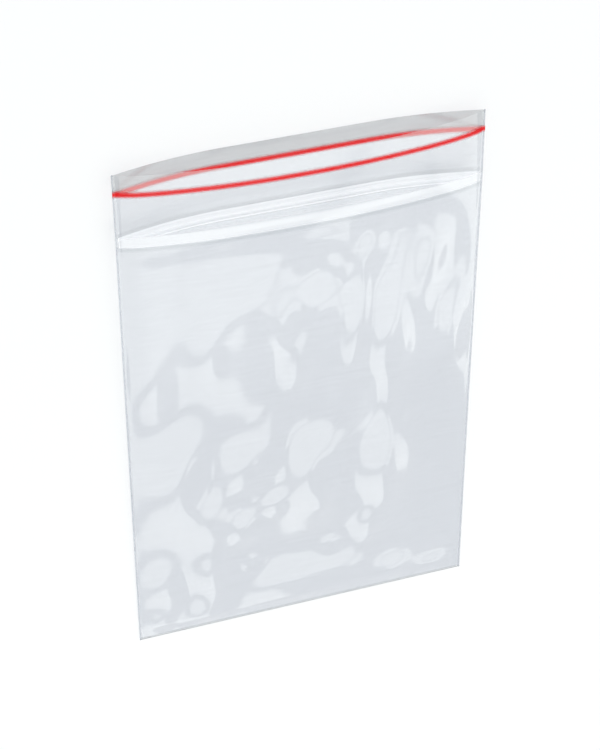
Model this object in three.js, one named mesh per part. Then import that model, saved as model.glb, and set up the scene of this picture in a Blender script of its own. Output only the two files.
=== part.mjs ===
// Clear press-to-close zipper bag of polythene film, lying on its back panel with the mouth a little open.
// Millimetres, +Z up: X runs across the bag, Y from the bottom fold to the mouth, Z out of the front panel.
// The origin is on the table, under the middle of the bag.
import * as THREE from "three";
import { mergeVertices } from "three/addons/utils/BufferGeometryUtils.js";

// Driving dimensions of the bag
const bagWidth = 100;
const pocketDepth = 140; // bottom fold to the middle of the zipper
const lipHeight = 20; // middle of the zipper to the mouth's edge
const filmThickness = 0.09;

// Mouth: how far each panel bows away from the side welds
const frontBow = 5.4; // at the zipper
const backBow = 4.2; // at the zipper and above
const foldBow = 0.25; // what the bottom fold leaves open
const openingPower = 1.3; // how late along the bag the panels part
const lipFlare = 1; // the front lip bows this much more at its edge
const lipCurl = 0.3; // the back lip lifts this far off the table at its edge
const archPower = 0.69; // below 1 the front panel's arch is fuller than a parabola
const restShare = 0.39; // share of the half width that the back panel keeps flat on the table

// Side welds, melted through by a hot blade
const weldWidth = 0.8;
const beadWidth = 0.5;
const beadThickness = 0.34;
const foldRadius = 0.5; // height over which the bottom fold rounds off

// Zipper profiles, extruded as strips and bonded inside the panels
const flangeWidth = 3.2;
const flangeThickness = 0.1;
const ribHeight = 1.35;
const ribStemWidth = 0.44;
const ribHeadWidth = 1.04;
const ribTipWidth = 0.26;
const barbHeight = 0.7; // film to the barbs of the rib's head
const fillet = 0.14; // at the foot of the rib's stem
const channelHeight = 1.45;
const channelJawWidth = 0.42;
const jawHook = 0.26; // how far each jaw reaches over the channel
const snapClearance = 0.14; // rib head to each jaw
const zipperClearance = 0.1; // between the two crushed profiles at the side welds
const bondGap = 0.05; // a strip to the film that carries it

// Red opening lines on the two lips
const redLineDrop = 5.5; // mouth's edge to the middle of the line
const redLineWidth = 1.5;
const redLineThickness = 0.16;

// Soft buckles in the front panel, from the mouth down: middle, half sizes and slope that falls to the mouth
const buckles = [
  { across: -44, along: 108, halfWidth: 8, halfLength: 24, fall: 0.1 },
  { across: -18, along: 123, halfWidth: 15, halfLength: 20, fall: 0.11 },
  { across: 4, along: 116, halfWidth: 9, halfLength: 10, fall: 0.12 },
  { across: 3, along: 128, halfWidth: 6, halfLength: 8, fall: -0.16 },
  { across: 25, along: 118, halfWidth: 6, halfLength: 20, fall: 0.2 },
  { across: 25, along: 98, halfWidth: 6, halfLength: 16, fall: 0.22 },
  { across: 43, along: 102, halfWidth: 5, halfLength: 18, fall: 0.24 },
  { across: -46, along: 84, halfWidth: 8, halfLength: 12, fall: -0.1 },
  { across: -37, along: 66, halfWidth: 9, halfLength: 22, fall: 0.18 },
  { across: -19, along: 63, halfWidth: 8, halfLength: 14, fall: 0.15 },
  { across: 2, along: 60, halfWidth: 8, halfLength: 17, fall: 0.2 },
  { across: 24, along: 58, halfWidth: 7, halfLength: 20, fall: 0.22 },
  { across: -28, along: 44, halfWidth: 6, halfLength: 14, fall: 0.28 },
  { across: -18, along: 39, halfWidth: 5, halfLength: 9, fall: 0.24 },
  { across: -43, along: 24, halfWidth: 7, halfLength: 14, fall: 0.2 },
  { across: -28, along: 25, halfWidth: 5, halfLength: 12, fall: 0.28 },
  { across: 0, along: 15, halfWidth: 22, halfLength: 11, fall: 0.22 },
  { across: -31, along: 8, halfWidth: 6, halfLength: 9, fall: 0.2 },
  { across: 28, along: 9, halfWidth: 6, halfLength: 7, fall: 0.2 },
  { across: 41, along: 6, halfWidth: 6, halfLength: 6, fall: 0.22 },
];
const crestShare = 0.25; // share of its half length and slope by which a buckle stands up
const foldFade = 5; // the buckles fade out over this length above the bottom fold
const zipperFade = 9; // and over this length below the zipper
const touchGap = 0.12; // left between the panels where a buckle dips

// Facets
const columns = 28;
const pocketRows = 30;
const lipRows = 2;
const crownSteps = 5;

// Sizes that follow
const bagLength = pocketDepth + lipHeight;
const redLineAlong = bagLength - redLineDrop;
const weldInside = bagWidth / 2 - weldWidth;
const crushableHeight = ribHeight + channelHeight - 2 * flangeThickness;

// Evenly spaced values from start to end, both included
function spread(start, end, steps) {
  return Array.from({ length: steps + 1 }, (_, i) => start + ((end - start) * i) / steps);
}

// Places across the bag from weld to weld, closer together beside the welds
const acrossStations = spread(0, Math.PI, columns).map((angle) => -weldInside * Math.cos(angle));

// Places along the bag, with rows at the edges of the zipper flanges and of the red lines
const alongStations = [
  ...spread(2 * foldRadius, pocketDepth - flangeWidth / 2, pocketRows),
  ...spread(pocketDepth + flangeWidth / 2, redLineAlong - redLineWidth / 2, lipRows),
  redLineAlong + redLineWidth / 2,
  bagLength,
];

// Share of the full opening that the panels have reached at a place along the bag
function opening(along) {
  return Math.min(1, along / pocketDepth) ** openingPower;
}

// Height of the side welds: the back panel's middle stays on the table
function weldLevel(along) {
  return filmThickness + foldBow + (backBow - foldBow) * opening(along);
}

// Rise of the soft buckles, which fade out at the bottom fold and at the zipper
function buckleRise(across, along) {
  let rise = 0;
  for (const b of buckles) {
    const past = along - b.along;
    const reach = ((across - b.across) / b.halfWidth) ** 2 + (past / b.halfLength) ** 2;
    rise += b.fall * (crestShare * b.halfLength - past) * Math.exp(-reach);
  }
  const belowZipper = pocketDepth - flangeWidth / 2 - along;
  const { smoothstep } = THREE.MathUtils;
  return rise * smoothstep(along, 0, foldFade) * smoothstep(belowZipper, 0, zipperFade);
}

// Inner face of the front panel: an arch between the welds, with the buckles in it, clear of the back panel
function frontInside(across, along) {
  const arch = Math.max(0, 1 - (across / weldInside) ** 2) ** archPower;
  const flare = lipFlare * Math.max(0, (along - pocketDepth) / lipHeight);
  const bow = foldBow + (frontBow - foldBow) * opening(along) + flare;
  const height = weldLevel(along) + arch * bow + Math.sqrt(arch) * buckleRise(across, along);
  return Math.max(height, backInside(across, along) + touchGap * Math.sqrt(arch));
}

// Inner face of the back panel: flat on the table in the middle and drawn up to the welds at the sides
function backInside(across, along) {
  const beyondFlat = Math.max(0, Math.abs(across / weldInside) - restShare) / (1 - restShare);
  const curl = lipCurl * Math.max(0, (along - redLineAlong) / redLineDrop) ** 2;
  const bow = weldLevel(along) - filmThickness - curl;
  return weldLevel(along) - bow * (1 - beyondFlat ** 2);
}

// Two triangles over four corners, split the same way in plan on every face, so that a film's faces never meet
function splitFacet(points, [a, b, c, d]) {
  const run = points[c].clone().sub(points[a]);
  return run.x * run.y < 0 ? [a, b, d, b, c, d] : [a, b, c, a, c, d];
}

// Closed skin over a row of rings with equal point counts; ends that come to a line close themselves
function loft(rings, endFaces = []) {
  const count = rings[0].length;
  const last = (rings.length - 1) * count;
  const points = rings.flat();
  const corners = [];
  for (let k = 0; k < rings.length - 1; k++) {
    for (let i = 0; i < count; i++) {
      const [a, b] = [k * count + i, k * count + ((i + 1) % count)];
      corners.push(...splitFacet(points, [a, b, b + count, a + count]));
    }
  }
  for (const [a, b, c] of endFaces) {
    corners.push(c, b, a, last + a, last + b, last + c);
  }
  const skin = new THREE.BufferGeometry().setFromPoints(points);
  skin.setIndex(corners);
  return withoutSlivers(mergeVertices(skin));
}

// Drops the triangles that lost a side where points were merged
function withoutSlivers(geometry) {
  const kept = [];
  const index = geometry.index.array;
  for (let i = 0; i < index.length; i += 3) {
    const [a, b, c] = index.subarray(i, i + 3);
    if (a !== b && b !== c && c !== a) kept.push(a, b, c);
  }
  geometry.setIndex(kept);
  geometry.computeVertexNormals();
  return geometry;
}

// A point of the bag: Y is measured from the middle of the bag's length
function place(across, along, height) {
  return new THREE.Vector3(across, along - bagLength / 2, height);
}

// One ring round the outside of the bag: over the front panel, round the weld bead and back underneath
function outerRing(along) {
  const level = weldLevel(along);
  const beadAcross = bagWidth / 2 - beadWidth / 2;
  const front = acrossStations.map((x) => place(x, along, frontInside(x, along) + filmThickness));
  const back = acrossStations.map((x) => place(x, along, backInside(x, along) - filmThickness));
  return [
    place(-bagWidth / 2, along, level),
    place(-beadAcross, along, level + beadThickness / 2),
    ...front,
    place(beadAcross, along, level + beadThickness / 2),
    place(bagWidth / 2, along, level),
    place(beadAcross, along, level - beadThickness / 2),
    ...back.reverse(),
    place(-beadAcross, along, level - beadThickness / 2),
  ];
}

// One ring round the inside; the points beside the welds fall together where the two films are fused
function innerRing(along) {
  const front = acrossStations.map((x) => place(x, along, frontInside(x, along)));
  const back = acrossStations.map((x) => place(x, along, backInside(x, along)));
  const [left, right] = [front[0], front[columns]];
  return [left, left, ...front, right, right, right, ...back.reverse(), left];
}

// A ring pressed flat onto the weld level, where the film turns over at the bottom fold
function foldedRing(ring, along) {
  return ring.map((p) => place(p.x, along, weldLevel(0)));
}

// Film pouch: one sheet folded at the bottom and welded up both sides, open at the mouth
function makePouch() {
  const outside = alongStations.map(outerRing);
  const inside = alongStations.map(innerRing);
  return loft([
    foldedRing(outside[0], 0),
    ...outside,
    ...inside.reverse(),
    foldedRing(inside[inside.length - 1], foldRadius),
  ]);
}

// A strip across the bag that keeps to a face of the film; section points are [along, out of the face]
function makeStrip(section, stations, alongMiddle, face, side, crush = () => 1) {
  const rings = stations.map((across) =>
    section.map(([offset, height]) => {
      const along = alongMiddle + offset;
      const crushable = Math.max(0, height - flangeThickness);
      const out = height - crushable * (1 - crush(across));
      return place(across, along, face(across, along) + side * (bondGap + out));
    }),
  );
  const outline = section.map(([offset, height]) => new THREE.Vector2(offset, height));
  const endFaces = THREE.ShapeUtils.triangulateShape(outline, []);
  const strip = loft(rings, endFaces);
  if (side < 0) strip.setIndex([...strip.index.array].reverse());
  strip.computeVertexNormals();
  return strip;
}

// Mirrors the right half of a section to its left, from the right foot up and over to the left foot
function symmetric(half) {
  return [...half, ...half.map(([offset, height]) => [-offset, height]).reverse()];
}

// Share of a zipper profile's height that is left where the films close up beside the welds
function zipperCrush(across) {
  const gap = frontInside(across, pocketDepth) - backInside(across, pocketDepth);
  const taken = 2 * (bondGap + flangeThickness) + zipperClearance;
  return Math.min(1, Math.max(0, gap - taken) / crushableHeight);
}

// Rib with an arrow head, on the front panel
function ribSection() {
  const [foot, stem, head, tip] = [flangeWidth, ribStemWidth, ribHeadWidth, ribTipWidth].map((w) => w / 2);
  return symmetric([
    [foot, 0],
    [foot, flangeThickness / 2],
    [stem + fillet, flangeThickness],
    [stem, flangeThickness + fillet],
    [stem, barbHeight],
    [head, barbHeight],
    [(head + tip) / 2, (barbHeight + ribHeight) / 2],
    [tip, ribHeight],
  ]);
}

// Channel with two hooked jaws that the rib snaps into, on the back panel
function channelSection() {
  const foot = flangeWidth / 2;
  const inside = ribHeadWidth / 2 + snapClearance;
  const outside = inside + channelJawWidth;
  const hookHeight = channelHeight - channelJawWidth;
  return symmetric([
    [foot, 0],
    [foot, flangeThickness / 2],
    [outside, flangeThickness],
    [outside, hookHeight],
    [inside + channelJawWidth / 3, channelHeight],
    [inside - jawHook, channelHeight - channelJawWidth / 3],
    [inside, hookHeight],
    [inside, 2 * flangeThickness],
  ]);
}

// Low crowned stripe, half an ellipse in section
function redLineSection() {
  const angles = spread(0, Math.PI, crownSteps);
  return angles.map((angle) => [(redLineWidth / 2) * Math.cos(angle), redLineThickness * Math.sin(angle)]);
}

// Clear film, clear profile and red stripe
const film = new THREE.MeshStandardMaterial({
  color: "#dfe3e8",
  roughness: 0.12,
  metalness: 0,
  transparent: true,
  opacity: 0.35,
});
const profile = new THREE.MeshStandardMaterial({
  color: "#f2f5f7",
  roughness: 0.2,
  metalness: 0,
  transparent: true,
  opacity: 0.6,
});
const red = new THREE.MeshStandardMaterial({ color: "#e43a3c", roughness: 0.35, metalness: 0 });

// Strips inside the bag stop one place short of the welds; the front line lies outside and runs over them
const betweenWelds = acrossStations.slice(1, -1);
const frontOutside = (across, along) => frontInside(across, along) + filmThickness;
const rib = makeStrip(ribSection(), betweenWelds, pocketDepth, frontInside, -1, zipperCrush);
const channel = makeStrip(channelSection(), betweenWelds, pocketDepth, backInside, 1, zipperCrush);

const pieces = [
  ["film_pouch", makePouch(), film],
  ["zipper_rib", rib, profile],
  ["zipper_channel", channel, profile],
  ["front_red_line", makeStrip(redLineSection(), acrossStations, redLineAlong, frontOutside, 1), red],
  ["back_red_line", makeStrip(redLineSection(), betweenWelds, redLineAlong, backInside, 1), red],
];

const zipperBag = new THREE.Group();
for (const [name, geometry, material] of pieces) {
  const mesh = new THREE.Mesh(geometry, material);
  mesh.name = name;
  zipperBag.add(mesh);
}

export default zipperBag;
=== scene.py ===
# %% [markdown]
# # Clear zipper bag
# A press-to-close bag of polythene film lies on a white table with its mouth a little open. The CAD model
# gives the size and the main form. Here the film gets its fine creases and its clear, glossy look, and
# the zipper and the red lines get their rounded sections.

import math

import bmesh
import bpy
import numpy as np
from mathutils import Matrix, Vector


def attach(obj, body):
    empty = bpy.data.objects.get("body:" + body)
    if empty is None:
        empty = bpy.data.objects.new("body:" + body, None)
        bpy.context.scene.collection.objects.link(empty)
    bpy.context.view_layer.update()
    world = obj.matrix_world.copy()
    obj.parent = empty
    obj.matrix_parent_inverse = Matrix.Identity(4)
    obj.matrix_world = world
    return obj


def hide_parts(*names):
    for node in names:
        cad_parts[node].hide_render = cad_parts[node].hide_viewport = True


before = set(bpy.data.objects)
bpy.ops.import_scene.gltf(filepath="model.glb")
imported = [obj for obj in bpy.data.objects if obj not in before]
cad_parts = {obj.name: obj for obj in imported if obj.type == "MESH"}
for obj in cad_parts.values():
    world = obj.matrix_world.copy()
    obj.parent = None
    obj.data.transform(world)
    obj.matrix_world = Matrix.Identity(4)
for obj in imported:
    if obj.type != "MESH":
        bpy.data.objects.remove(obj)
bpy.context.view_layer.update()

# %% [markdown]
# ## Camera
# The photo looks down on the bag at about fifty degrees from the mouth's side, with a long lens. The
# camera is also turned about its own axis, so that the mouth is at the top of the picture. A camera that
# points at a target can't show that turn, so its own right and up directions are given. They, its place
# and its lens were worked out from the corners of the bag in the photo.

# %% Camera
MM = 0.001
CAMERA_PLACE = Vector((-152.1, 365.2, 466.3))
CAMERA_RIGHT = Vector((0.94851, -0.00907, 0.31661))
CAMERA_UP = Vector((0.19479, 0.80492, -0.56050))
CAMERA_LENS = 106.4
camera = bpy.data.objects.new("camera", bpy.data.cameras.new("camera"))
bpy.context.scene.collection.objects.link(camera)
camera.data.lens = CAMERA_LENS
facing = Matrix((CAMERA_RIGHT, CAMERA_UP, CAMERA_RIGHT.cross(CAMERA_UP))).transposed()
camera.matrix_world = Matrix.Translation(CAMERA_PLACE * MM) @ facing.to_4x4()
bpy.context.scene.camera = camera
bpy.context.scene.view_settings.view_transform = "Standard"
print("camera:", round(CAMERA_PLACE.length), "mm from the middle of the bag")

# %% [markdown]
# ## Nodes and colours
# Every finish below is a small node tree. One function adds a node with its settings and its links and
# gives one of its outputs, so that the calls can be chained. Another turns a colour as it is read from a
# screen into the linear numbers that the renderer works with.


# %% Helpers for node trees
def linear(hex_colour):
    """Linear red, green, blue and alpha of a colour written as #rrggbb."""
    shares = [int(hex_colour[i : i + 2], 16) / 255 for i in (1, 3, 5)]
    return [s / 12.92 if s <= 0.04045 else ((s + 0.055) / 1.055) ** 2.4 for s in shares] + [1.0]


def add_node(tree, kind, inputs, output=0, **settings):
    """Adds a shader node, fills its inputs with values or other outputs, and gives one of its outputs."""
    node = tree.nodes.new("ShaderNode" + kind)
    for name, value in settings.items():
        setattr(node, name, value)
    for name, value in inputs.items():
        if isinstance(value, bpy.types.NodeSocket):
            tree.links.new(value, node.inputs[name])
        else:
            node.inputs[name].default_value = value
    return node.outputs[output] if node.outputs else None


def new_material(name):
    """An empty material and its node tree."""
    material = bpy.data.materials.new(name)
    material.use_nodes = True
    material.node_tree.nodes.clear()
    return material, material.node_tree


# %% Kinds of ray
def any_ray(tree, *kinds):
    """1 for rays of any of these kinds, and 0 for the others."""
    share = 0.0
    for kind in kinds:
        ray = add_node(tree, "LightPath", {}, kind)
        share = add_node(tree, "Math", {0: ray, 1: share}, operation="MAXIMUM")
    return share


# %% [markdown]
# ## Table and light
# A plain white table fills the picture and the world gives the even light of a white room, which the eye
# and the mirrors see as white. Softboxes stand on two lamp walls that lean over the bag, one beyond its
# bottom end and one beyond its mouth. The film mirrors them wherever it turns the right way, which makes
# the pale patches. The high one lights the buckles that fall towards the mouth, and the low ones light
# the sides of the panel and of the lip. The softboxes are a little warmer than the room, so the patches
# are less blue than the rest.

# %% Table
REACH = 3.0
TABLE_DROP = 0.05  # millimetres, so that the film and the table never share a plane
table_mesh = bpy.data.meshes.new("table")
corners = [(-REACH, -REACH, 0), (REACH, -REACH, 0), (REACH, REACH, 0), (-REACH, REACH, 0)]
table_mesh.from_pydata(corners, [], [(0, 1, 2, 3)])
table = bpy.data.objects.new("table", table_mesh)
bpy.context.scene.collection.objects.link(table)
table.location.z = -TABLE_DROP * MM
table_paint, tree = new_material("white table")
add_node(tree, "OutputMaterial", {"Surface": add_node(tree, "BsdfDiffuse", {"Color": linear("#ffffff")})})
table_mesh.materials.append(table_paint)

# %% World
ROOM_LIGHT = 0.73
world = bpy.data.worlds.new("white room")
bpy.context.scene.world = world
world.use_nodes = True
tree = world.node_tree
tree.nodes.clear()
seen = any_ray(tree, "Is Camera Ray", "Is Glossy Ray", "Is Transmission Ray")
white_room = add_node(tree, "Background", {"Color": linear("#ffffff"), "Strength": 1.0})
room_light = add_node(tree, "Background", {"Color": linear("#f8fbff"), "Strength": ROOM_LIGHT})
room = add_node(tree, "MixShader", {0: seen, 1: room_light, 2: white_room})
add_node(tree, "OutputWorld", {"Surface": room})

# %% Softboxes
WALL_AWAY, WALL_AZIMUTH, WALL_ELEVATION = 1.0, math.radians(22), math.radians(41)


def lamp_wall(azimuth):
    """Right, up and outward directions of a lamp wall, as seen from the bag."""
    right = Vector((math.cos(azimuth), math.sin(azimuth), 0))
    level_out = Vector((math.sin(azimuth), -math.cos(azimuth), 0))
    outward = level_out * math.cos(WALL_ELEVATION) + Vector((0, 0, math.sin(WALL_ELEVATION)))
    return right, outward.cross(right), outward


def add_softbox(name, wall, across, up, width, height, brightness):
    """A rectangular light on a lamp wall, in metres. A brightness of 1 is that of white paper."""
    lamp = bpy.data.lights.new(name, "AREA")
    lamp.shape = "RECTANGLE"
    lamp.size, lamp.size_y = width, height
    lamp.energy = brightness * math.pi * width * height
    lamp.color = linear("#fffff6")[:3]
    box = bpy.data.objects.new(name, lamp)
    place = wall[0] * across + wall[1] * up + wall[2] * WALL_AWAY
    box.matrix_world = Matrix.Translation(place) @ Matrix(wall).transposed().to_4x4()
    bpy.context.scene.collection.objects.link(box)
    print(name, "at", [round(c, 2) for c in place], "m")


far_wall, near_wall = lamp_wall(WALL_AZIMUTH), lamp_wall(WALL_AZIMUTH + math.pi)
add_softbox("high softbox", far_wall, -0.2, 0.435, 1.7, 0.53, 1.16)
add_softbox("left softbox", far_wall, -0.46, -0.09, 0.6, 0.32, 1.12)
add_softbox("right softbox", far_wall, 0.56, -0.13, 0.4, 0.48, 1.1)
add_softbox("middle softbox", far_wall, 0.205, 0.105, 0.33, 0.09, 1.14)
add_softbox("near softbox", near_wall, 0.0, 0.34, 1.2, 0.36, 1.2)

# %% [markdown]
# ## Form of the film
# The bag is one sheet of film, folded at the bottom and welded up both sides. The back panel lies on the
# table and the front panel bows up from the welds, most of all at the mouth. A cloth simulation would
# crumple it at random, so the heights are a formula instead, which repeats the CAD model's form in
# millimetres, with its soft buckles, and adds the smaller creases and faint waves that film gets from
# handling. Each buckle was placed where the photo shows a pale patch.

# %% Sizes of the bag
WIDTH, POCKET, LIP, FILM = 100.0, 140.0, 20.0, 0.09
LENGTH = POCKET + LIP
FRONT_BOW, BACK_BOW, FOLD_BOW, OPENING_POWER = 5.4, 4.2, 0.25, 1.3
LIP_FLARE, LIP_CURL, RED_DROP = 1.0, 0.3, 5.5
ARCH_POWER, REST_SHARE = 0.69, 0.39
WELD, FLANGE = 0.8, 3.2
INSIDE = WIDTH / 2 - WELD
print("bag:", WIDTH, "by", LENGTH, "mm")

# %% Buckles and creases
CREST_SHARE, FOLD_FADE, ZIPPER_FADE = 0.25, 5.0, 9.0
BUCKLES = [  # across, along, half width, half length, slope that falls to the mouth; as in the CAD model
    (-44, 108, 8, 24, 0.1),
    (-18, 123, 15, 20, 0.11),
    (4, 116, 9, 10, 0.12),
    (3, 128, 6, 8, -0.16),
    (25, 118, 6, 20, 0.2),
    (25, 98, 6, 16, 0.22),
    (43, 102, 5, 18, 0.24),
    (-46, 84, 8, 12, -0.1),
    (-37, 66, 9, 22, 0.18),
    (-19, 63, 8, 14, 0.15),
    (2, 60, 8, 17, 0.2),
    (24, 58, 7, 20, 0.22),
    (-28, 44, 6, 14, 0.28),
    (-18, 39, 5, 9, 0.24),
    (-43, 24, 7, 14, 0.2),
    (-28, 25, 5, 12, 0.28),
    (0, 15, 22, 11, 0.22),
    (-31, 8, 6, 9, 0.2),
    (28, 9, 6, 7, 0.2),
    (41, 6, 6, 6, 0.22),
]
CREASES = [  # the same for smaller ones, and their turn in degrees
    (-28, 107, 4, 12, 0.08, 0),
    (-7, 110, 4, 10, 0.09, 0),
    (-2, 99, 4, 12, 0.12, 0),
    (15, 122, 3, 16, 0.16, 0),
    (14, 104, 3, 12, 0.1, 0),
    (37, 125, 4, 14, 0.1, -10),
    (33, 108, 3, 12, 0.08, 10),
    (25, 80, 3, 14, 0.12, 0),
    (-9, 78, 3, 14, 0.08, 0),
    (-9, 45, 4, 6, 0.18, 0),
    (5, 44, 3, 9, 0.16, 0),
    (20, 30, 4, 8, 0.22, 0),
    (-16, 24, 4, 5, 0.2, 0),
    (8, 24, 4, 4, 0.2, 0),
    (-44, 8, 4, 6, 0.22, 0),
    (12, 120, 9, 9, -0.15, 0),
]
print("buckles:", len(BUCKLES), "creases:", len(CREASES))


# %% Heights of the plain panels
def opening(along):
    """Share of the full opening reached at a place along the bag."""
    return np.minimum(1, along / POCKET) ** OPENING_POWER


def weld_level(along):
    """Height of the side welds."""
    return FILM + FOLD_BOW + (BACK_BOW - FOLD_BOW) * opening(along)


def arch(across):
    """Height of the front panel's arch between the welds, from 0 to 1."""
    return np.maximum(0, 1 - (across / INSIDE) ** 2) ** ARCH_POWER


def smooth(share):
    """A soft step from 0 to 1."""
    share = np.clip(share, 0, 1)
    return share * share * (3 - 2 * share)


# %% Waves and buckles
WAVE_COUNT, SHORTEST_WAVE, LONGEST_WAVE, ALONG_STRETCH = 30, 10, 28, 0.6
FRONT_SEED, FRONT_SLOPE, BACK_SEED, BACK_SLOPE = 7, 0.022, 3, 0.015


def waves(across, along, seed, slope):
    """Faint random waves of a given steepness."""
    pick = np.random.default_rng(seed)
    rise = np.zeros(np.broadcast(across, along).shape)
    for _ in range(WAVE_COUNT):
        per_mm = 2 * np.pi / pick.uniform(SHORTEST_WAVE, LONGEST_WAVE)
        heading, start = pick.uniform(0, np.pi), pick.uniform(0, 2 * np.pi)
        run = across * np.cos(heading) + along * ALONG_STRETCH * np.sin(heading)
        rise += np.cos(per_mm * run + start) / per_mm
    return slope * rise / np.sqrt(WAVE_COUNT / 2)


def leaning(across, along, x, y, half_width, half_length, fall, turn=0):
    """One buckle, which falls towards the mouth at its middle."""
    cosine, sine = np.cos(np.radians(turn)), np.sin(np.radians(turn))
    sideways = (cosine * (across - x) + sine * (along - y)) / half_width
    lengthways = (cosine * (along - y) - sine * (across - x)) / half_length
    return fall * (CREST_SHARE * half_length - along + y) * np.exp(-(sideways**2) - lengthways**2)


def buckle_rise(across, along):
    """Height of all the buckles, which fade out at the welds, the fold and the zipper."""
    rise = waves(across, along, FRONT_SEED, FRONT_SLOPE)
    for row in BUCKLES + CREASES:
        rise += leaning(across, along, *row)
    below_zipper = POCKET - FLANGE / 2 - along
    return rise * np.sqrt(arch(across)) * smooth(along / FOLD_FADE) * smooth(below_zipper / ZIPPER_FADE)


# %% Heights of the two films
TOUCH, TOUCH_EASE = 0.12, 0.03


def back_height(across, along):
    """Middle of the back panel's film, which lies on the table and ripples up from it."""
    beyond = np.clip((np.abs(across) / INSIDE - REST_SHARE) / (1 - REST_SHARE), 0, 1)
    curl = LIP_CURL * np.maximum(0, (along - LENGTH + RED_DROP) / RED_DROP) ** 2
    bow = weld_level(along) - FILM - curl
    ripple = waves(across, along, BACK_SEED, BACK_SLOPE) * smooth(along / FOLD_FADE)
    lift = (ripple + np.sqrt(ripple**2 + TOUCH_EASE**2)) / 2
    return weld_level(along) - bow * (1 - beyond**2) - FILM / 2 + lift


def front_height(across, along):
    """Middle of the front panel's film, which stays clear of the back panel."""
    flare = LIP_FLARE * np.maximum(0, (along - POCKET) / LIP)
    bow = FOLD_BOW + (FRONT_BOW - FOLD_BOW) * opening(along) + flare
    height = weld_level(along) + arch(across) * bow + buckle_rise(across, along)
    least = back_height(across, along) + FILM / 2 + TOUCH * np.sqrt(arch(across))
    return np.maximum(height, least) + FILM / 2


# %% [markdown]
# ## Film sheet
# The sheet runs from the front lip down to the bottom fold and up the back to the other lip, as it does
# on the bag machine. It is a single skin, because the film is far thinner than anything the eye can tell,
# and a second skin would only double every ray's work. A map lays the sheet out flat, so that its finish
# can tell the front from the back and find the zipper.


# %% Meshes and pieces
def grid_mesh(name, points):
    """A mesh through a grid of points in millimetres, given as rows by columns by 3."""
    rows, columns = points.shape[:2]
    number = np.arange(rows * columns).reshape(rows, columns)
    faces = np.stack([number[:-1, :-1], number[:-1, 1:], number[1:, 1:], number[1:, :-1]], axis=-1)
    mesh = bpy.data.meshes.new(name)
    mesh.from_pydata((points.reshape(-1, 3) * MM).tolist(), [], faces.reshape(-1, 4).tolist())
    mesh.shade_smooth()
    return mesh


def add_piece(mesh, material, slot, *nodes):
    """A piece of the bag that rides on the frame and stands for CAD nodes."""
    mesh.materials.append(material)
    piece = bpy.data.objects.new(mesh.name, mesh)
    bpy.context.scene.collection.objects.link(piece)
    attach(piece, "root")
    if nodes:
        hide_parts(*nodes)
    print(mesh.name, "of", material.name, "has", len(mesh.polygons), "faces")
    return piece


# %% Film sheet
COLUMNS, EDGE_SHARE, FOLD_ROUND, ZIPPER_ZONE = 150, 0.35, 1.0, 4.0
BODY_ROWS, ZIPPER_ROWS, LIP_ROWS = 186, 32, 22
even = np.linspace(-1, 1, COLUMNS + 1)
across = ((1 - EDGE_SHARE) * even + EDGE_SHARE * np.sin(even * np.pi / 2)) * WIDTH / 2
body_along = np.linspace(0, POCKET - ZIPPER_ZONE, BODY_ROWS, endpoint=False)
zipper_along = np.linspace(POCKET - ZIPPER_ZONE, POCKET + ZIPPER_ZONE, ZIPPER_ROWS, endpoint=False)
along = np.concatenate([body_along, zipper_along, np.linspace(POCKET + ZIPPER_ZONE, LENGTH, LIP_ROWS + 1)])
fold = np.sqrt(np.clip(along / FOLD_ROUND, 0, 1))[:, None]
fold_height = weld_level(0)
x, y = np.meshgrid(across, along)
front = fold_height + (front_height(x, y) - fold_height) * fold
back = fold_height + (back_height(x, y) - fold_height) * fold
front_points = np.stack([x, y - LENGTH / 2, front], axis=-1)
back_points = np.stack([x, y - LENGTH / 2, back], axis=-1)
film_mesh = grid_mesh("film_sheet", np.concatenate([front_points[:0:-1], back_points]))
print("film heights in mm:", round(back.min(), 2), "to", round(front.max(), 2))

# %% Flat map of the sheet
map_along = np.concatenate([0.5 - along[:0:-1] / LENGTH / 2, 0.5 + along / LENGTH / 2])
map_points = np.stack(np.meshgrid(across / WIDTH + 0.5, map_along), axis=-1).reshape(-1, 2)
corner_numbers = np.array([loop.vertex_index for loop in film_mesh.loops])
film_mesh.uv_layers.new(name="flat sheet").data.foreach_set("uv", map_points[corner_numbers].ravel())

# %% [markdown]
# ## Low-density polythene film
# The film is blown as a bubble and pressed flat. It is clear with a faint cool grey, slightly milky with
# faint lines from the extruder, and as glossy as glass. Both of its faces mirror the light, so the gloss
# is nearly twice that of one face. Seen from inside, the angle rule of the gloss has to be told that the
# light still comes from the air. Where the zipper strips are bonded on, the film is whiter, with a soft line
# of painted shade on the outer side of each strip, where its thickness steps. Between the parted strips it
# is made a little milkier, a painted glow which stands for the light that they give off. The bottom fold
# has a line of painted shade too. On the lip the shade is painted in: the front lip is a little darker and
# the back lip greyer, and the front lip beyond its red line is paler, as a painted reflection. Light passes
# on to the table almost undimmed, so the film casts almost no shadow there, and that shadow is painted
# into the grey that is seen through the film instead. The finish finds each of these places by its
# distance from the fold, and the gap by its place across the bag too.

# %% Places on the film, in millimetres
STEP_OUT = 0.5
SOFT = {"interpolation_type": "SMOOTHSTEP"}


def ease(start, end, at_start, at_end):
    """Inputs of a range that goes from one level at its start to another at its end."""
    return {"From Min": start, "From Max": end, "To Min": at_start, "To Max": at_end}


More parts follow.
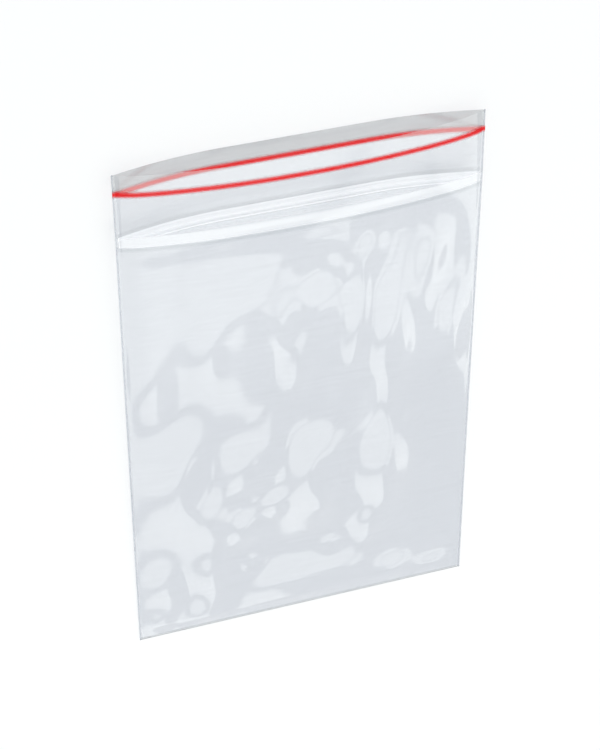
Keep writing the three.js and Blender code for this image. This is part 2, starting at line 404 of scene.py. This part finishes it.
film_material, tree = new_material("LDPE film")
flat_map = add_node(tree, "TexCoord", {}, "UV")
sheet_size = {"Location": (-WIDTH / 2, -LENGTH, 0), "Scale": (WIDTH, 2 * LENGTH, 1)}
on_sheet = add_node(tree, "Mapping", {"Vector": flat_map, **sheet_size})
sheet_across = add_node(tree, "SeparateXYZ", {"Vector": on_sheet}, "X")
sheet_along = add_node(tree, "SeparateXYZ", {"Vector": on_sheet}, "Y")
from_fold = add_node(tree, "Math", {0: sheet_along}, operation="ABSOLUTE")
beyond_zipper = add_node(tree, "Math", {0: from_fold, 1: POCKET}, operation="SUBTRACT")
from_zipper = add_node(tree, "Math", {0: beyond_zipper}, operation="ABSOLUTE")
panel_sign = add_node(tree, "Math", {0: sheet_along}, operation="SIGN")
outward = add_node(tree, "Math", {0: beyond_zipper, 1: panel_sign}, operation="MULTIPLY")
beyond_step = add_node(tree, "Math", {0: outward, 1: FLANGE / 2 + STEP_OUT}, operation="SUBTRACT")
from_step = add_node(tree, "Math", {0: beyond_step}, operation="ABSOLUTE")

# %% Shares of each look on the film
BOND_EASE, STEP_CORE, STEP_REACH, STEP_DARK, FOLD_CORE = 0.5, 0.1, 1.1, 0.5, 0.2
LIP_START, LIP_EASE = 6.0, 3.0
strip_edge = ease(FLANGE / 2 - BOND_EASE, FLANGE / 2, 1.0, 0.0)
bonded = add_node(tree, "MapRange", {"Value": from_zipper, **strip_edge}, **SOFT)
# Painted shade: a soft dark line beside each zipper strip, where the film's thickness steps, and one at the
# bottom fold.
step_edge = ease(STEP_CORE, STEP_REACH, STEP_DARK, 0.0)
step_shade = add_node(tree, "MapRange", {"Value": from_step, **step_edge}, **SOFT)
fold_edge = ease(FOLD_CORE, FOLD_ROUND, 1.0, 0.0)
fold_shade = add_node(tree, "MapRange", {"Value": from_fold, **fold_edge}, **SOFT)
painted_line_shade = add_node(tree, "Math", {0: step_shade, 1: fold_shade}, operation="MAXIMUM")
# Masks for the lip's painted light: painted shade on the front and back lips, and a painted reflection on
# the front lip beyond its red line.
lip_edge = ease(POCKET + LIP_START, POCKET + LIP_START + LIP_EASE, 0.0, 1.0)
on_lip = add_node(tree, "MapRange", {"Value": from_fold, **lip_edge}, **SOFT)
above_red = add_node(tree, "Math", {0: from_fold, 1: LENGTH - RED_DROP}, operation="GREATER_THAN")
back_panel = add_node(tree, "Math", {0: sheet_along, 1: 0.0}, operation="GREATER_THAN")
front_panel = add_node(tree, "Math", {0: 1.0, 1: back_panel}, operation="SUBTRACT")
front_lip_shade = add_node(tree, "Math", {0: front_panel, 1: on_lip}, operation="MULTIPLY")
front_edge_reflection = add_node(tree, "Math", {0: front_panel, 1: above_red}, operation="MULTIPLY")
back_lip_shade = add_node(tree, "Math", {0: back_panel, 1: above_red}, operation="MULTIPLY")

# %% Gap between the strips
GAP_REACH = 3.4
half_share = add_node(tree, "Math", {0: sheet_across, 1: WIDTH / 2}, operation="DIVIDE")
squared = add_node(tree, "Math", {0: half_share, 1: half_share}, operation="MULTIPLY")
gap_size = {0: squared, 1: -GAP_REACH, 2: GAP_REACH + FLANGE / 2}
gap_end = add_node(tree, "Math", gap_size, operation="MULTIPLY_ADD")
inner_side = add_node(tree, "Math", {0: outward, 1: 0.0}, operation="LESS_THAN")
gap_edge = ease(FLANGE / 2 - BOND_EASE, gap_end, 1.0, 0.0)
gap_fade = add_node(tree, "MapRange", {"Value": from_zipper, **gap_edge}, **SOFT)
between_strips = add_node(tree, "Math", {0: gap_fade, 1: inner_side}, operation="MULTIPLY")

# %% Tint of the film, with painted shade and a painted reflection
# The front lip is darker as painted shade, the front lip beyond its red line is paler as a painted
# reflection, and the back lip is greyer as painted shade.
painted_lip_light = ((front_lip_shade, "#e1e3e6"), (front_edge_reflection, "#eaecee"), (back_lip_shade, "#c6c7c8"))
# The film's grey is partly painted shade, for the shadow that it doesn't cast on the table; the loop adds
# the back panel's grey, the lines of painted shade and the lip's painted light.
tint_and_painted_shade = linear("#e4e6e9")
for share, colour in ((back_panel, "#f2f4f7"), (painted_line_shade, "#c4c8cc"), *painted_lip_light):
    tint_and_painted_shade = add_node(tree, "Mix", {0: share, 6: tint_and_painted_shade, 7: linear(colour)}, 2, data_type="RGBA")


# %% Noise between two levels
NOISE_LOW, NOISE_HIGH, NOISE_DETAIL = 0.35, 0.65, 2.0


def streaks(tree, place, sizes, low, high):
    """A noise between two levels, with grains of a given size along each axis, in millimetres."""
    grains = add_node(tree, "Mapping", {"Vector": place, "Scale": [1 / size for size in sizes]})
    noise = add_node(tree, "TexNoise", {"Vector": grains, "Scale": 1.0, "Detail": NOISE_DETAIL})
    levels = ease(NOISE_LOW, NOISE_HIGH, low, high)
    return add_node(tree, "MapRange", {"Value": noise, **levels}, **SOFT)


# %% Film material
FILM_INDEX, TWO_FACES, BOND_MILK, GAP_GLOW = 1.5, 1.8, 0.35, 0.36
FILM_MILK, FILM_DULLNESS, GLOW_SHARE = (0.105, 0.135), (0.08, 0.1), 0.5
EXTRUDER_LINES = (33, 0.8, 1)  # the real lines are finer than this, and wouldn't show
DULL_PATCHES = (8, 8, 1)
inside = add_node(tree, "NewGeometry", {}, "Backfacing")
index = add_node(tree, "MapRange", {"Value": inside, **ease(0, 1, FILM_INDEX, 1 / FILM_INDEX)})
one_face = add_node(tree, "Fresnel", {"IOR": index})
both_faces = add_node(tree, "Math", {0: one_face, 1: TWO_FACES}, operation="MULTIPLY")
film_milk = streaks(tree, on_sheet, EXTRUDER_LINES, *FILM_MILK)
bond_milk = add_node(tree, "Math", {0: bonded, 1: BOND_MILK}, operation="MULTIPLY")
# The milkier gap between the strips is a painted glow, for the light that the strips give off.
gap_glow = add_node(tree, "Math", {0: between_strips, 1: GAP_GLOW}, operation="MULTIPLY")
zipper_milk_and_glow = add_node(tree, "Math", {0: bond_milk, 1: gap_glow}, operation="MAXIMUM")
milkiness = add_node(tree, "Math", {0: film_milk, 1: zipper_milk_and_glow}, operation="MAXIMUM")
lit_milk = add_node(tree, "BsdfDiffuse", {"Color": linear("#f2f4f7")})
glowing_milk = add_node(tree, "BsdfTranslucent", {"Color": linear("#f2f4f7")})
haze = add_node(tree, "MixShader", {0: GLOW_SHARE, 1: lit_milk, 2: glowing_milk})
clear = add_node(tree, "BsdfTransparent", {"Color": tint_and_painted_shade})
body = add_node(tree, "MixShader", {0: milkiness, 1: clear, 2: haze})
dullness = streaks(tree, on_sheet, DULL_PATCHES, *FILM_DULLNESS)
gloss = add_node(tree, "BsdfGlossy", {"Color": linear("#ffffff"), "Roughness": dullness})
film_look = add_node(tree, "MixShader", {0: both_faces, 1: body, 2: gloss})

# %% Light through the film
PASSED_LIGHT = "#fafafb"
LIGHTING = ("Is Shadow Ray", "Is Diffuse Ray")
passed = add_node(tree, "BsdfTransparent", {"Color": linear(PASSED_LIGHT)})
surface = add_node(tree, "MixShader", {0: any_ray(tree, *LIGHTING), 1: film_look, 2: passed})
add_node(tree, "OutputMaterial", {"Surface": surface})
film = add_piece(film_mesh, film_material, "clear_film", "film_pouch")

# %% [markdown]
# ## Side welds
# A hot blade cuts the bag off and melts both films together in one stroke. The melt draws back into a
# fine bead, a little uneven, which shows as a thin grey outline on each side. A curve with a round bevel
# would do too, but a ring swept along the side can be flatter than it is wide, as the bead is.


# %% Swept strips
MERGE_DISTANCE = 1e-7  # metres


def swept_mesh(name, rings):
    """A closed strip through rings of points in millimetres, rings by points by 3, with flat ends."""
    around = rings.shape[1]
    mesh = grid_mesh(name, np.concatenate([rings, rings[:, :1]], axis=1))
    build = bmesh.new()
    build.from_mesh(mesh)
    bmesh.ops.remove_doubles(build, verts=build.verts, dist=MERGE_DISTANCE)
    bmesh.ops.holes_fill(build, edges=build.edges, sides=around + 1)
    bmesh.ops.recalc_face_normals(build, faces=build.faces)
    build.to_mesh(mesh)
    build.free()
    mesh.shade_smooth()
    return mesh


# %% Weld bead material
def place_in_mm(tree):
    """The place on a piece, in millimetres."""
    place = add_node(tree, "TexCoord", {}, "Object")
    return add_node(tree, "Mapping", {"Vector": place, "Scale": [1 / MM] * 3})


MELT_GRAINS, MELT_MILK, MELT_ROUGHNESS = (1.4, 1.4, 1.4), (0.32, 0.48), 0.25
weld_material, tree = new_material("melted LDPE bead")
melt = add_node(tree, "BsdfPrincipled", {"Base Color": linear("#dfe3e7"), "Roughness": MELT_ROUGHNESS})
uneven = streaks(tree, place_in_mm(tree), MELT_GRAINS, *MELT_MILK)
clear = add_node(tree, "BsdfTransparent", {"Color": linear("#f5f6f8")})
melt_look = add_node(tree, "MixShader", {0: uneven, 1: clear, 2: melt})
passed = add_node(tree, "BsdfTransparent", {"Color": linear(PASSED_LIGHT)})
surface = add_node(tree, "MixShader", {0: any_ray(tree, *LIGHTING), 1: melt_look, 2: passed})
add_node(tree, "OutputMaterial", {"Surface": surface})

# %% Weld beads
BEAD_WIDTH, BEAD_THICK, BEAD_SIDES, BEAD_RINGS = 0.5, 0.34, 10, 121
turns = np.linspace(0, 2 * np.pi, BEAD_SIDES, endpoint=False)
bead_along = np.linspace(0, LENGTH, BEAD_RINGS)[:, None]
for name, side in (("side_weld_left", -1), ("side_weld_right", 1)):
    ring_z = weld_level(bead_along) + BEAD_THICK / 2 * np.sin(turns)
    ring_x = side * (WIDTH - BEAD_WIDTH) / 2 + BEAD_WIDTH / 2 * np.cos(turns) + 0 * ring_z
    ring_y = bead_along - LENGTH / 2 + 0 * ring_z
    bead = swept_mesh(name, np.stack([ring_x, ring_y, ring_z], axis=-1))
    add_piece(bead, weld_material, "clear_film")

# %% [markdown]
# ## Zipper
# The closure is a rib with an arrow head inside the front panel and a channel with two hooked jaws inside
# the back panel. Both are extruded as long strips, and the side welds crush them flat. Each section is
# drawn as half of an outline, mirrored, rounded off and swept across the bag, so that the strip follows
# the bow of the panel that it is bonded to.

# %% Zipper sections
FLANGE_THICK, BOND, CLEARANCE = 0.1, 0.05, 0.1
RIB_HEIGHT, RIB_STEM, RIB_HEAD, RIB_TIP, BARB, FILLET = 1.35, 0.44, 1.04, 0.26, 0.7, 0.14
CHANNEL_HEIGHT, JAW, HOOK, SNAP = 1.45, 0.42, 0.26, 0.14
foot = [(FLANGE / 2, 0), (FLANGE / 2, FLANGE_THICK / 2)]
rib_half = [
    *foot,
    (RIB_STEM / 2 + FILLET, FLANGE_THICK),
    (RIB_STEM / 2, FLANGE_THICK + FILLET),
    (RIB_STEM / 2, BARB),
    (RIB_HEAD / 2, BARB),
    ((RIB_HEAD + RIB_TIP) / 4, (BARB + RIB_HEIGHT) / 2),
    (RIB_TIP / 2, RIB_HEIGHT),
]
jaw_inside = RIB_HEAD / 2 + SNAP
hook_height = CHANNEL_HEIGHT - JAW
channel_half = [
    *foot,
    (jaw_inside + JAW, FLANGE_THICK),
    (jaw_inside + JAW, hook_height),
    (jaw_inside + JAW / 3, CHANNEL_HEIGHT),
    (jaw_inside - HOOK, CHANNEL_HEIGHT - JAW / 3),
    (jaw_inside, hook_height),
    (jaw_inside, 2 * FLANGE_THICK),
]

# %% Rounded corners
CORNER_CUT, CUT_ROUNDS = 0.25, 2


def rounded(half):
    """Both halves of a section with its corners cut back, as melted plastic rounds off."""
    points = np.array(half + [(-offset, height) for offset, height in reversed(half)])
    for _ in range(CUT_ROUNDS):
        after = np.roll(points, -1, axis=0)
        early = (1 - CORNER_CUT) * points + CORNER_CUT * after
        late = CORNER_CUT * points + (1 - CORNER_CUT) * after
        points = np.stack([early, late], axis=1).reshape(-1, 2)
    return points


# %% Zipper strips
STRIP_RINGS, STRIP_END = 121, 0.04


def strip_mesh(name, section, stations, along_middle, face, side, crush):
    """A strip across the bag that keeps to a face of the film; section points are along and out of it."""
    offset, height = section[:, 0][None, :], section[:, 1][None, :]
    place = stations[:, None]
    out = height - np.maximum(0, height - FLANGE_THICK) * (1 - crush(place))
    level = face(place, along_middle + offset) + side * (BOND + FILM / 2 + out)
    ring_y = along_middle + offset - LENGTH / 2 + 0 * place
    return swept_mesh(name, np.stack([place + 0 * offset, ring_y, level], axis=-1))


def zipper_crush(place):
    """Share of the profiles' height that is left beside the welds."""
    gap = front_height(place, POCKET) - back_height(place, POCKET) - FILM
    taken = 2 * (BOND + FLANGE_THICK) + CLEARANCE
    return np.clip((gap - taken) / (RIB_HEIGHT + CHANNEL_HEIGHT - 2 * FLANGE_THICK), 0, 1)


strip_across = -INSIDE * np.cos(np.linspace(STRIP_END, np.pi - STRIP_END, STRIP_RINGS))
rib = strip_mesh("rib", rounded(rib_half), strip_across, POCKET, front_height, -1, zipper_crush)
channel = strip_mesh("channel", rounded(channel_half), strip_across, POCKET, back_height, 1, zipper_crush)

# %% [markdown]
# ## Extruded polythene profile
# The strips are milky, with fine lines along them from the die. Their ridges glow a little, because clear
# plastic leads light along its length and gives it off where its surface bends. True light paths inside
# so small a strip would need far more samples, so a weak glow stands for them.

# %% Zipper material
DIE_LINES, PROFILE_MILK, PROFILE_ROUGHNESS = (25, 0.67, 0.67), (0.84, 0.95), 0.2
GUIDED_LIGHT = {"Emission Color": linear("#fbfdff"), "Emission Strength": 0.22}
profile_material, tree = new_material("extruded LDPE profile")
milkiness = streaks(tree, place_in_mm(tree), DIE_LINES, *PROFILE_MILK)
milk_finish = {"Base Color": linear("#ffffff"), "Roughness": PROFILE_ROUGHNESS, **GUIDED_LIGHT}
milk = add_node(tree, "BsdfPrincipled", milk_finish)
looking = add_node(tree, "Math", {0: 1.0, 1: any_ray(tree, *LIGHTING)}, operation="SUBTRACT")
solid = add_node(tree, "Math", {0: milkiness, 1: looking}, operation="MULTIPLY")
clear = add_node(tree, "BsdfTransparent", {"Color": linear("#f6f7f8")})
surface = add_node(tree, "MixShader", {0: solid, 1: clear, 2: milk})
add_node(tree, "OutputMaterial", {"Surface": surface})
add_piece(rib, profile_material, "clear_profile", "zipper_rib")
add_piece(channel, profile_material, "clear_profile", "zipper_channel")

# %% [markdown]
# ## Red lines
# A red stripe is extruded into each lip, so that the finger finds the opening. It is thickest and reddest
# in the middle and thins out at its edges, where the red fades to pink, with faint streaks along it. It
# is a low crown swept across the lip. A hard-edged strip would look painted on, so the pigment fades with
# the distance from the middle.

# %% Red strips
RED_WIDTH, RED_THICK, CROWN_STEPS = 2.6, 0.16, 8
RED_ALONG = LENGTH - RED_DROP
angles = np.linspace(0, np.pi, CROWN_STEPS + 1)
crown = np.stack([RED_WIDTH / 2 * np.cos(angles), RED_THICK * np.sin(angles)], axis=-1)
line_across = -(WIDTH / 2) * np.cos(np.linspace(0, np.pi, STRIP_RINGS))
front_line = strip_mesh("front_line", crown, line_across, RED_ALONG, front_height, 1, np.ones_like)
back_line = strip_mesh("back_line", crown, strip_across, RED_ALONG, back_height, 1, np.ones_like)

# %% Pigment across a red line
RED_CORE, RED_STREAKS, RED_DENSITY = 0.1, (17, 0.4, 17), (0.97, 1.0)
red_material, tree = new_material("red LDPE stripe")
place = place_in_mm(tree)
line_along = add_node(tree, "SeparateXYZ", {"Vector": place}, "Y")
beyond_middle = add_node(tree, "Math", {0: line_along, 1: RED_ALONG - LENGTH / 2}, operation="SUBTRACT")
from_middle = add_node(tree, "Math", {0: beyond_middle}, operation="ABSOLUTE")
edge_fade = ease(RED_CORE, RED_WIDTH / 2, 1.0, 0.0)
fade = add_node(tree, "MapRange", {"Value": from_middle, **edge_fade}, **SOFT)
streak = streaks(tree, place, RED_STREAKS, *RED_DENSITY)
streaked = add_node(tree, "Math", {0: fade, 1: streak}, operation="MULTIPLY")
underside = add_node(tree, "NewGeometry", {}, "Backfacing")
top = add_node(tree, "Math", {0: 1.0, 1: underside}, operation="SUBTRACT")
pigment_share = add_node(tree, "Math", {0: streaked, 1: top}, operation="MULTIPLY")

# %% Red material
RED_SHADE, SHEEN_SHARE, SHEEN_ROUGHNESS = 0.25, 0.015, 0.25
lit = add_node(tree, "MapRange", {"Value": any_ray(tree, *LIGHTING), **ease(0, 1, 1.0, RED_SHADE)})
share = add_node(tree, "Math", {0: pigment_share, 1: lit}, operation="MULTIPLY")
pigment = add_node(tree, "BsdfDiffuse", {"Color": linear("#e8191e")})
sheen = add_node(tree, "BsdfGlossy", {"Color": linear("#ffffff"), "Roughness": SHEEN_ROUGHNESS})
coated = add_node(tree, "MixShader", {0: SHEEN_SHARE, 1: pigment, 2: sheen})
clear = add_node(tree, "BsdfTransparent", {"Color": linear("#ffffff")})
surface = add_node(tree, "MixShader", {0: share, 1: clear, 2: coated})
add_node(tree, "OutputMaterial", {"Surface": surface})
add_piece(front_line, red_material, "red_stripe", "front_red_line")
add_piece(back_line, red_material, "red_stripe", "back_red_line")
